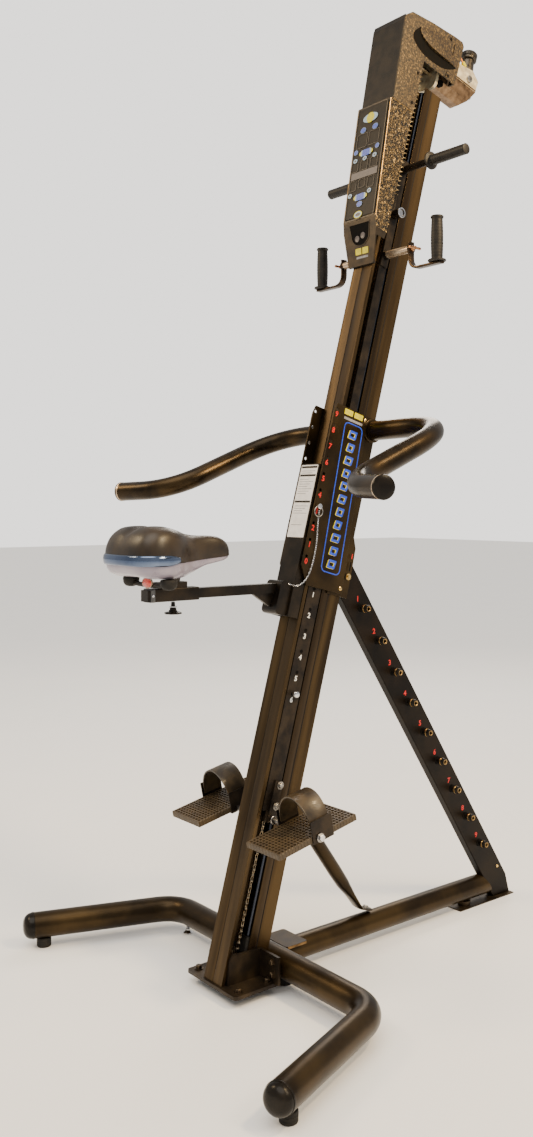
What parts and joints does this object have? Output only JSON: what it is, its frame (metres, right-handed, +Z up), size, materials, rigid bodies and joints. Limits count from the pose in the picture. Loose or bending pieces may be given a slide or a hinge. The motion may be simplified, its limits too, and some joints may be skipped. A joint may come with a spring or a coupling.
{
  "type": "vertical climber machine",
  "caption": "Leaning slotted mast on a tube base, with chain-linked pedals and hand bars, a saddle on a sliding post, handlebars and a console.",
  "frame": {"origin": "on the floor, in the machine's plane of symmetry (x = 0), in the middle of its length from the tail of the saddle to the end of the rear foot plate", "axes": "+Z up, +X to the user's right, +Y the way the user faces; the mast leans its top towards +Y"},
  "size_m": [1.0626, 1.275, 2.3746],
  "materials": {
    "black_frame": "satin",
    "bronze_mast": "satin",
    "hammered": "textured",
    "panel": "satin",
    "rubber": "matte",
    "tread": "matte",
    "chrome": "polished",
    "cast": "satin",
    "steel_rod": "satin",
    "vinyl": "satin",
    "shell": "gloss"
  },
  "bodies": {
    "root": {"base_plate": "black_frame", "cross_tube": "black_frame", "rear_tube": "black_frame", "rear_foot_plate": "bronze_mast", "leg_foot_right": "rubber", "leg_foot_left": "rubber", "centre_foot": "rubber", "leveller_right": "chrome", "leveller_left": "chrome", "lower_brace": "black_frame", "mast": "bronze_mast", "chain": "steel_rod", "guide_rod_right": "steel_rod", "guide_rod_left": "steel_rod", "collar_plate_right": "black_frame", "collar_plate_left": "black_frame", "rear_channel": "black_frame", "lanyard": "chrome", "rear_strut": "black_frame", "handlebar_right": "black_frame", "handlebar_left": "black_frame", "handlebar_cap_right": "rubber", "handlebar_cap_left": "rubber", "head_casing": "hammered", "head_front_cover": "panel", "console_housing": "hammered", "console_panel": "panel", "resistance_unit": "cast"},
    "right_foot": {"foot_carriage_right": "black_frame", "pedal_axle_right": "chrome"},
    "right_pedal": {"pedal_right": "tread", "strap_cradle_right": "black_frame", "toe_strap_right": "rubber"},
    "right_lock_pin": {"lock_pin_right": "chrome"},
    "right_hand": {"hand_bar_right": "black_frame", "upper_grip_right": "rubber"},
    "right_handle": {"handle_hook_right": "black_frame", "handle_grip_right": "rubber"},
    "right_clamp": {"clamp_screw_right": "cast"},
    "left_foot": {"foot_carriage_left": "black_frame", "pedal_axle_left": "chrome"},
    "left_pedal": {"pedal_left": "tread", "strap_cradle_left": "black_frame", "toe_strap_left": "rubber"},
    "left_lock_pin": {"lock_pin_left": "chrome"},
    "left_hand": {"hand_bar_left": "black_frame", "upper_grip_left": "rubber"},
    "left_handle": {"handle_hook_left": "black_frame", "handle_grip_left": "rubber"},
    "left_clamp": {"clamp_screw_left": "cast"},
    "top_sprocket": {"top_sprocket": "chrome"},
    "bottom_sprocket": {"bottom_sprocket": "chrome"},
    "resistance_knob": {"resistance_knob": "black_frame"},
    "seat_pin": {"seat_pin": "chrome"},
    "seat": {"seat_post": "black_frame", "seat_arm": "black_frame"},
    "saddle": {"saddle_slider": "black_frame", "saddle_shell": "shell", "saddle_pad": "vinyl"},
    "saddle_knob": {"saddle_knob": "rubber"}
  },
  "joints": [
    {"name": "right_stroke", "type": "slide", "parent": "root", "child": "right_foot", "axis": [0, 0.263, 0.9648], "range_m": [-0.25, 0.25]},
    {"name": "right_pedal_tilt", "type": "hinge", "parent": "right_foot", "child": "right_pedal", "pos_m": [0, -0.2555, 0.38447], "axis": [1, 0, 0], "range_deg": [-35, 25]},
    {"name": "right_lock_pin_pull", "type": "slide", "parent": "right_foot", "child": "right_lock_pin", "axis": [1, 0, 0], "range_m": [0, 0.03]},
    {"name": "right_hand_height", "type": "slide", "parent": "right_foot", "child": "right_hand", "axis": [0, 0.263, 0.9648], "range_m": [-0.1524, 0]},
    {"name": "right_handle_turn", "type": "hinge", "parent": "right_hand", "child": "right_handle", "pos_m": [0, 0.11314, 1.74688], "axis": [1, 0, 0], "range_deg": [-100, 100]},
    {"name": "right_clamp_turn", "type": "hinge", "parent": "right_hand", "child": "right_clamp", "pos_m": [0, 0.11314, 1.74688], "axis": [1, 0, 0], "continuous": true},
    {"name": "left_stroke", "type": "slide", "parent": "root", "child": "left_foot", "axis": [0, 0.263, 0.9648], "range_m": [-0.25, 0.25]},
    {"name": "left_pedal_tilt", "type": "hinge", "parent": "left_foot", "child": "left_pedal", "pos_m": [0, -0.2555, 0.38447], "axis": [1, 0, 0], "range_deg": [-35, 25]},
    {"name": "left_lock_pin_pull", "type": "slide", "parent": "left_foot", "child": "left_lock_pin", "axis": [-1, 0, 0], "range_m": [0, 0.03]},
    {"name": "left_hand_height", "type": "slide", "parent": "left_foot", "child": "left_hand", "axis": [0, 0.263, 0.9648], "range_m": [-0.1524, 0]},
    {"name": "left_handle_turn", "type": "hinge", "parent": "left_hand", "child": "left_handle", "pos_m": [0, 0.11314, 1.74688], "axis": [1, 0, 0], "range_deg": [-100, 100]},
    {"name": "left_clamp_turn", "type": "hinge", "parent": "left_hand", "child": "left_clamp", "pos_m": [0, 0.11314, 1.74688], "axis": [1, 0, 0], "continuous": true},
    {"name": "top_sprocket_turn", "type": "hinge", "parent": "root", "child": "top_sprocket", "pos_m": [0, 0.25614, 2.27901], "axis": [0, 0.9648, -0.263], "range_deg": [-800.8, 800.8]},
    {"name": "bottom_sprocket_turn", "type": "hinge", "parent": "root", "child": "bottom_sprocket", "pos_m": [0, -0.34199, 0.08508], "axis": [0, 0.9648, -0.263], "range_deg": [-800.8, 800.8]},
    {"name": "resistance_turn", "type": "hinge", "parent": "root", "child": "resistance_knob", "pos_m": [0, 0.46023, 2.33945], "axis": [0, 0.263, 0.9648], "range_deg": [-135, 135]},
    {"name": "seat_pin_pull", "type": "slide", "parent": "root", "child": "seat_pin", "axis": [1, 0, 0], "range_m": [0, 0.03]},
    {"name": "seat_height", "type": "slide", "parent": "root", "child": "seat", "axis": [0, 0.263, 0.9648], "range_m": [-0.1224, 0.2448]},
    {"name": "saddle_reach", "type": "slide", "parent": "seat", "child": "saddle", "axis": [0, 1, 0], "range_m": [0, 0.1]},
    {"name": "saddle_knob_turn", "type": "hinge", "parent": "saddle", "child": "saddle_knob", "pos_m": [0, -0.4995, 0.89], "axis": [0, 0, 1], "continuous": true}
  ],
  "couplings": [
    {"joint": "left_stroke", "follows": "right_stroke", "ratio": -1},
    {"joint": "top_sprocket_turn", "follows": "right_stroke", "rad_per_m": -55.556},
    {"joint": "bottom_sprocket_turn", "follows": "right_stroke", "rad_per_m": -55.556}
  ]
}
